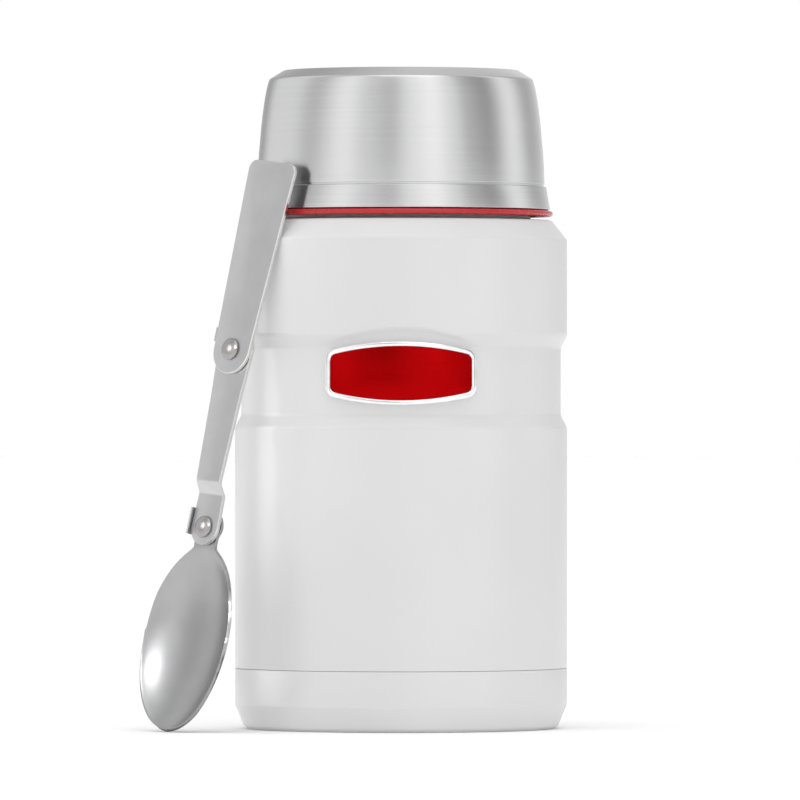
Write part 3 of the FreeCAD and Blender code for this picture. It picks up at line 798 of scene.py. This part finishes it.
def lid_cup():
    """The spun cup: a conical collar, a fine groove over it, a bellied side and a chamfered top."""
    outer = rounded([(COLLAR_LOW_R, RING_TOP_Z + 0.02, 0.2), (COLLAR_TOP_R, COLLAR_TOP_Z, 0.2),
                     (GROOVE_R, GROOVE_Z[0], 0), (GROOVE_R, GROOVE_Z[1], 0),
                     (CUP_SIDE[0][0], GROOVE_Z[1] + 0.1, 0.08)]
                    + [(r, z, 0) for r, z in CUP_SIDE]
                    + [CUP_EDGE + (1.3,), (CUP_TOP_R, LID_TOP_Z, 1.0), (0, LID_TOP_Z, 0)])
    under_z = LID_TOP_Z - WALL
    inner = [(0, under_z), (CUP_TOP_R - 0.4, under_z), (CUP_EDGE[0] - WALL, CUP_EDGE[1] - 0.5)]
    inner += [(r - WALL, z) for r, z in reversed(CUP_SIDE)]
    inner += [(GROOVE_R - 0.75, sum(GROOVE_Z) / 2), (COLLAR_TOP_R - 0.95, COLLAR_TOP_Z - 0.7),
              (COLLAR_LOW_R - 0.85, RING_TOP_Z + 0.1)]
    dress(lathe("lid_cup", outer + inner, 256), LID_STEEL, "lid", "brushed_lid", "lid_shell")


def trim_ring():
    profile = rounded([(RING_IN_R, RING_LOW_Z, 0), (RING_R, RING_LOW_Z, 0.9), (RING_R, RING_TOP_Z, 0.8),
                       (RING_IN_R, RING_TOP_Z, 0)])
    dress(lathe("trim_ring", profile, 256), RED_TRIM, "lid", "red_trim", "lid_trim_ring")


def liner():
    """The bowl inside the cup, a little wider towards its mouth."""
    corner = 5.0
    bend_r, bend_z = LINER_BEND
    low_r, low_z, top_z = bend_r + 0.6, LINER_LOW_Z, LINER_CEILING_Z + LINER_T
    inside = rounded([(low_r, low_z, 0), (bend_r, bend_z, 0), (LINER_CEILING_R, LINER_CEILING_Z, corner),
                      (0, LINER_CEILING_Z, 0)], 8)
    outside = rounded([(0, top_z, 0), (LINER_CEILING_R + LINER_T, top_z, corner + LINER_T),
                       (bend_r + LINER_T, bend_z, 0), (low_r + LINER_T, low_z, 0)], 8)
    dress(lathe("liner", inside + outside), LINER_PLASTIC, "lid", "liner_plastic", "lid_liner")


def lid_threads():
    dress(thread("neck_thread", NECK_R, low_z=157.0, turns=1.6, height=0.8), VESSEL_STEEL, "jar",
          "bare_steel")
    dress(thread("liner_thread", 40.75, low_z=160.0, turns=1.4, height=0.8, inward=True), LINER_PLASTIC,
          "lid", "liner_plastic")


# Spoon

def spoon_place():
    """The spoon's own frame, from its two hinge axes."""
    joints = {joint["name"]: joint for joint in frame["joints"]}
    out = Vector(joints["bowl_fold"]["axis"]).normalized()
    top = Vector(joints["handle_fold"]["pos_m"])
    low = Vector(joints["bowl_fold"]["pos_m"])
    along = (top - low - out * JOG * MM).normalized()
    across = along.cross(out).normalized()
    matrix = Matrix((across, along, out)).transposed().to_4x4()
    matrix.translation = top
    return matrix


SPOON_PLACE = spoon_place()


def settle(obj):
    """Moves a piece from the spoon's own frame to its place beside the jar."""
    obj.data.transform(SPOON_PLACE)
    return obj


def canted(obj, degrees, y):
    """Turns a plate a little about its rivet, clockwise as seen from the front."""
    pivot = Matrix.Translation((0, y * MM, 0))
    obj.data.transform(pivot @ Matrix.Rotation(math.radians(-degrees), 4, "Z") @ pivot.inverted())
    return obj


def spoon_handle():
    """The upper plate: round at the rivet, wider and square-cornered at the top."""
    c, w = HANDLE_CORNER, HANDLE_TOP_HALF_W
    k = c * (1 - math.sqrt(0.5))
    points = outline([
        (-HANDLE_END_R, 0, None), (-w, HANDLE_L - c, (-w + k, HANDLE_L - k)), (-w + c, HANDLE_L, None),
        (w - c, HANDLE_L, (w - k, HANDLE_L - k)), (w, HANDLE_L - c, None),
        (HANDLE_END_R, 0, (0, -HANDLE_END_R))], 24)
    plate = slab("handle_plate", points, PLATE_GAP, PLATE_GAP + PLATE_T)
    ease_edges(plate, 0.28)
    dress(settle(canted(plate, HANDLE_CANT, 0)), SPOON_STEEL, "handle", "spoon_steel", "spoon_handle")
    paint_edge_highlight(plate)


def spoon_shank():
    """The middle link: its plan cut through a strip that is jogged back, with the stop tab added."""
    ramp_top, ramp_foot = -SHANK_L + JOG_HIGH, -SHANK_L + JOG_LOW
    r1, r2, w = SHANK_TOP_R, SHANK_END_R, SHANK_WAIST_HALF_W
    shoulder_w, shoulder_y = SHANK_SHOULDER
    plan = outline([
        (-r1, 0, (0, r1)), (r1, 0, None), (shoulder_w, shoulder_y, None), (w, ramp_top, None),
        (w + 0.2, ramp_foot, None), (r2, -SHANK_L, (0, -SHANK_L - r2)), (-r2, -SHANK_L, None),
        (-w - 0.2, ramp_foot, None), (-w, ramp_top, None), (-shoulder_w, shoulder_y, None)], 20)
    shank = slab("shank_link", plan, -10, 10)
    top, end = r1 + 1, -SHANK_L - r2 - 1
    back = -JOG - PLATE_T
    side = rounded([
        (top, 0, 0), (ramp_top, 0, BEND_R), (ramp_foot, -JOG, BEND_R), (end, -JOG, 0), (end, back, 0),
        (ramp_foot - JOG_LAG, back, BEND_R), (ramp_top - JOG_LAG, -PLATE_T, BEND_R), (top, -PLATE_T, 0)], 6)
    combine(shank, slab("strip", side, -12, 12, "x"), "INTERSECT")
    tab_in = HANDLE_END_R + TAB_GAP
    tab_out = tab_in + TAB_T
    combine(shank, block((-tab_out, -3), TAB_Y, (-PLATE_T, 0)), "UNION")
    combine(shank, block((-tab_out, -tab_in), TAB_Y, (-PLATE_T, TAB_RISE)), "UNION")
    ease_edges(shank, 0.22)
    dress(settle(shank), SPOON_STEEL, "spoon", "spoon_steel", "spoon_shank")
    paint_edge_highlight(shank)


def bowl_depth(x, y, middle_y):
    """How far the pressed bowl lies behind its rim plane, easing into the flat neck."""
    shrink = math.sqrt(1 - BOWL_STEEPNESS ** 2)
    dy = y - middle_y
    reach = (BOWL_NECK_L if dy > 0 else BOWL_TIP_L) - BOWL_RIM
    span = math.sqrt((x / (BOWL_HALF_W - BOWL_RIM)) ** 2 + (dy / reach) ** 2)
    inside = 1 - min(1.25, span * shrink) ** 2
    level = math.sqrt(inside) if inside > 0 else -0.3
    depth = (BOWL_DEPTH - BOWL_WALL) * (level - BOWL_STEEPNESS) / (1 - BOWL_STEEPNESS)
    soft = NECK_SOFTNESS * max(0.0, min(1.0, (dy - NECK_EASE) / NECK_EASE))
    return (depth + math.sqrt(depth * depth + soft * soft)) / 2 if soft else max(0.0, depth)


def bowl_half_width(y, middle_y):
    """Half the bowl's width: a blunt tip below its middle, an oval that runs into the neck above."""
    dy, half = y - middle_y, BOWL_HALF_W - BOWL_RIM
    if dy <= 0:
        share = min(1.0, -dy / (BOWL_TIP_L - BOWL_RIM))
        return half * (1 - share ** BOWL_BLUNTNESS) ** (1 / BOWL_BLUNTNESS)
    oval, neck = half * math.sqrt(max(0.0, 1 - min(1.0, dy / (BOWL_NECK_L + 0.3)) ** 2)), NECK_HALF_W
    blended = (oval + neck + math.sqrt((oval - neck) ** 2 + NECK_BLEND ** 2)) / 2
    return max(neck, blended - 0.12 * NECK_BLEND)


def bowl_sheet(front):
    """The bowl and its plate as one pressed sheet, in rows from the tip up to the plate's round end."""
    middle_y = -SHANK_L - NECK_L - BOWL_NECK_L
    tip_y = middle_y - BOWL_TIP_L + BOWL_RIM
    long_rows, end_rows, across, neck_turn = 60, 24, 40, 3.0
    stations = [tip_y + (middle_y - tip_y) * (1 - math.cos(math.pi / 2 * k / long_rows))
                for k in range(long_rows + 1)]
    stations += [middle_y + (-SHANK_L - middle_y) * k / long_rows for k in range(1, long_rows + 1)]
    stations += [-SHANK_L + BOWL_PLATE_R * math.sin(math.pi / 2 * k / end_rows)
                 for k in range(1, end_rows + 1)]
    points = []
    for y in stations:
        above = y + SHANK_L
        if above > 0:
            half = math.sqrt(max(0.0, BOWL_PLATE_R ** 2 - above ** 2))
        else:
            half = bowl_half_width(y, middle_y)
            half += (BOWL_PLATE_R - half) * eased(above / neck_turn + 1)
        for j in range(across + 1):
            x = half * math.sin(math.pi / 2 * (2 * j / across - 1))
            points.append((x, y, front - bowl_depth(x, y, middle_y)))
    wide = across + 1
    faces = []
    for i in range(len(stations) - 1):
        faces += [(i * wide + j, i * wide + j + 1, (i + 1) * wide + j + 1, (i + 1) * wide + j)
                  for j in range(across)]
    return piece("spoon_pan", points, faces, 180)


def spoon_bowl():
    """The pressed sheet with its gauge behind it, and the stop flange folded up beside the rivet."""
    front = -JOG - PLATE_T - PLATE_GAP
    bowl = bowl_sheet(front)
    faces_up = sum(face.normal.z for face in bowl.data.polygons) > 0
    modifier = bowl.modifiers.new("gauge", "SOLIDIFY")
    modifier.thickness = BOWL_WALL * MM
    modifier.offset = -1.0 if faces_up else 1.0
    modifier.use_even_offset = True
    apply_modifiers(bowl)
    flange_in = SHANK_END_R + TAB_GAP
    flange_out = flange_in + TAB_T
    low, high = (-SHANK_L + y for y in FLANGE_Y)
    ear = block((-flange_out, -2.5), (low, high - 2.4), (front - PLATE_T, front - 0.02))
    flange = block((-flange_out, -flange_in), (low, high), (front - PLATE_T, -JOG + FLANGE_RISE))
    combine(ear, flange, "UNION")
    combine(bowl, ear, "UNION")
    ease_edges(bowl, 0.28, 50)
    dress(settle(canted(bowl, BOWL_CANT, -SHANK_L)), BOWL_SHADED_STEEL, "bowl", "spoon_steel", "spoon_bowl")
    paint_flange_highlight(bowl, -flange_in, low)


def paint_flange_highlight(bowl, inner_x, low_y):
    """A painted highlight: the stop flange takes the brighter copy of the steel."""
    bowl.data.materials.append(EDGE_HIGHLIGHT_STEEL)
    to_spoon = SPOON_PLACE.inverted()
    for face in bowl.data.polygons:
        middle = to_spoon @ face.center
        if middle.x < inner_x * MM and middle.y > low_y * MM:
            face.material_index = 1


def rivet(name, y, front, back, node):
    """A domed head, a shank through the plates and a flat peened tail."""
    lip, steps = 0.45, 14
    dome = [(HEAD_R * math.sin(math.pi / 2 * k / steps),
             front + lip + (HEAD_H - lip) * math.cos(math.pi / 2 * k / steps)) for k in range(steps + 1)]
    dome += [(HEAD_R - 0.1, front + lip / 2), (HEAD_R - 0.35, front)]
    tail = rounded([(RIVET_R, front, 0), (RIVET_R, back, 0), (TAIL_R, back, 0.1),
                    (TAIL_R, back - TAIL_H, 0.35), (0, back - TAIL_H, 0)])
    obj = lathe(name, dome + tail, 64)
    obj.data.transform(Matrix.Translation((0, y * MM, 0)))
    dress(settle(obj), RIVET_SHADED_STEEL, "spoon", "rivet_steel", node)


# The sealed inner pieces keep the frame's own meshes and take a finish of their own.
CARRIED = {"heat_shield": FOIL, "getter_capsule": VESSEL_STEEL, "vacuum_seal": VESSEL_STEEL,
           "stopper_foam": FOAM, "lid_insulation": FOAM}


def carry_over():
    for node, finish in CARRIED.items():
        mesh = frame["nodes"][node].data
        mesh.materials.clear()
        mesh.materials.append(finish)


# Stage

def floor():
    """A round of white card, 40 m across, so that its edge lies far out of sight."""
    radii, segments = [500, 2000, 6000, 20000], 64
    points = [(0, 0, 0)]
    for r in radii:
        points += [(r * math.cos(2 * math.pi * k / segments), r * math.sin(2 * math.pi * k / segments), 0)
                   for k in range(segments)]
    faces = [(0, 1 + k, 1 + (k + 1) % segments) for k in range(segments)]
    for j in range(len(radii) - 1):
        a, b = 1 + j * segments, 1 + (j + 1) * segments
        faces += [(a + k, b + k, b + (k + 1) % segments, a + (k + 1) % segments) for k in range(segments)]
    obj = piece("floor", points, faces)
    obj.data.materials.append(studio_floor())


# The room as it lies round the jar: degrees round from the camera, to its right, and how bright it
# is there. A polished cylinder shows these stretches as upright bands.
ROOM = [(-180, 0.6), (-155, 0.4), (-132, 0.88), (-104, 0.9), (-80, 0.6), (-48, 1.15), (-26, 0.78),
        (-9, 0.58), (10, 1.05), (28, 1.27), (44, 0.95), (60, 0.53), (78, 0.34), (104, 1.08), (132, 0.5),
        (180, 0.85)]
ROOM_PEAK = 1.27
CEILING = 1.9
CEILING_IN_REFLECTIONS = 0.7
CEILING_EDGE = (0.72, 0.95)

# The finishes that some of the lights are kept to
SPOON_METAL = (BOWL_SHADED_STEEL, RIVET_SHADED_STEEL)
JAR_SKIN = (PAINT, LID_STEEL, RED_TRIM)


def room_light():
    """Lit screens and gaps round the jar, a bright ceiling over them and a white backdrop."""
    world = bpy.data.worlds.new("room")
    world.use_nodes = True
    scene.world = world
    tree = world.node_tree
    tree.nodes.clear()
    way = add(tree, "ShaderNodeTexCoord").outputs["Generated"]
    axes = add(tree, "ShaderNodeSeparateXYZ", {"Vector": way})
    ahead = add(tree, "ShaderNodeMath", {0: axes.outputs["Y"], 1: -1.0}, operation="MULTIPLY")
    turn = add(tree, "ShaderNodeMath", {0: axes.outputs["X"], 1: ahead.outputs["Value"]},
               operation="ARCTAN2")
    share = add(tree, "ShaderNodeMapRange", {"Value": turn.outputs["Value"], "From Min": -math.pi,
                                             "From Max": math.pi})
    ramp = add(tree, "ShaderNodeValToRGB", {"Fac": share.outputs["Result"]})
    ramp.color_ramp.interpolation = "EASE"
    elements = ramp.color_ramp.elements
    while len(elements) > 1:
        elements.remove(elements[0])
    for i, (degrees, level) in enumerate(ROOM):
        stop = elements.new((degrees + 180) / 360) if i else elements[0]
        stop.position = (degrees + 180) / 360
        stop.color = (level / ROOM_PEAK,) * 3 + (1.0,)
    rise = add(tree, "ShaderNodeMapRange", {"Value": axes.outputs["Z"], "From Min": CEILING_EDGE[0],
                                            "From Max": CEILING_EDGE[1]})
    ray = add(tree, "ShaderNodeLightPath").outputs
    high = add(tree, "ShaderNodeMapRange", {"Value": ray["Is Glossy Ray"], "To Min": CEILING / ROOM_PEAK,
                                            "To Max": CEILING_IN_REFLECTIONS / ROOM_PEAK})
    sky = add(tree, "ShaderNodeMix", {"Factor": rise.outputs["Result"]}, data_type="RGBA")
    tree.links.new(ramp.outputs["Color"], sky.inputs[6])
    tree.links.new(high.outputs["Result"], sky.inputs[7])
    glow = add(tree, "ShaderNodeBackground", {"Color": sky.outputs[2], "Strength": ROOM_PEAK})
    backdrop = add(tree, "ShaderNodeBackground", {"Color": (1.0, 1.0, 1.0, 1.0), "Strength": 1.0})
    mixed = add(tree, "ShaderNodeMixShader", {0: ray["Is Camera Ray"], 1: glow.outputs["Background"],
                                              2: backdrop.outputs["Background"]})
    add(tree, "ShaderNodeOutputWorld", {"Surface": mixed.outputs["Shader"]})


def pieces_with(name, finishes):
    """A collection of the pieces that have one of these finishes."""
    found = bpy.data.collections.new(name)
    for obj in scene.objects:
        if obj.type == "MESH" and obj.data.materials and obj.data.materials[0] in finishes:
            found.objects.link(obj)
    return found


def softbox(name, place, aim, width, height, power, lit=(), shading=()):
    """A soft light. Where finishes are given, flags keep it off all others, and only those of
    shading stand in its way."""
    light = bpy.data.lights.new(name, "AREA")
    light.shape = "RECTANGLE"
    light.size, light.size_y, light.energy = width, height, power
    obj = bpy.data.objects.new(name, light)
    scene.collection.objects.link(obj)
    obj.location = place
    obj.rotation_euler = (Vector(aim) - Vector(place)).to_track_quat("-Z", "Y").to_euler()
    if lit:
        obj.light_linking.receiver_collection = pieces_with(name + "_lights", lit)
        obj.light_linking.blocker_collection = pieces_with(name + "_shadows", shading)


def lights():
    """Two boxes for the spoon's reflections, three that even out the paint, and one over it all."""
    softbox("key_box", (-0.72, -1.77, 1.16), aim=(-0.06, 0, 0.03), width=1.1, height=0.2, power=13,
            lit=SPOON_METAL, shading=SPOON_METAL)
    softbox("rivet_box", (-2.1, -0.45, 0.8), aim=(-0.055, -0.032, 0.09), width=0.5, height=0.5, power=4,
            lit=(RIVET_SHADED_STEEL,), shading=SPOON_METAL)
    softbox("left_box", (-1.94, 0.4, 0.5), aim=(0, 0, 0.1), width=1.0, height=1.2, power=14,
            lit=(PAINT,), shading=JAR_SKIN)
    softbox("right_box", (1.73, -1.0, 0.5), aim=(0, 0, 0.1), width=1.0, height=1.2, power=3.5,
            lit=(PAINT,), shading=JAR_SKIN)
    softbox("low_box", (0, -1.3, -1.6), aim=(0, 0, 0.05), width=2.0, height=1.0, power=6,
            lit=(PAINT,), shading=JAR_SKIN)
    softbox("top_box", (0.2, -0.9, 2.2), aim=(0, 0, 0.1), width=1.8, height=1.8, power=6)


def camera():
    """The photograph's view: level, from the front, on a long lens."""
    data = bpy.data.cameras.new("camera")
    data.sensor_width = 36.0
    data.lens = PX_PER_MM * CAMERA_MM * data.sensor_width / IMAGE_PX
    data.shift_x = (IMAGE_PX / 2 - AXIS_X_PX) / IMAGE_PX
    data.shift_y = (EYE_Y_PX - IMAGE_PX / 2) / IMAGE_PX
    data.clip_end = 100.0
    obj = bpy.data.objects.new("camera", data)
    obj.location = (0, -CAMERA_MM * MM, EYE_MM * MM)
    obj.rotation_euler = (math.radians(90), 0, 0)
    scene.collection.objects.link(obj)
    scene.camera = obj


outer_casing()
base_cap()
foot_plate()
vessel()
badge_bezel()
badge_panel()
plug()
grip()
lip_seal()
stopper_threads()
lid_cup()
trim_ring()
liner()
lid_threads()
spoon_handle()
spoon_shank()
spoon_bowl()
rivet("handle_pin", 0, PLATE_GAP + PLATE_T + 0.05, -PLATE_T, "handle_rivet")
rivet("bowl_pin", -SHANK_L, -JOG, -JOG - 2 * PLATE_T - PLATE_GAP - 0.05, "bowl_rivet")
carry_over()
floor()
room_light()
lights()
camera()
scene.view_settings.view_transform = "Standard"
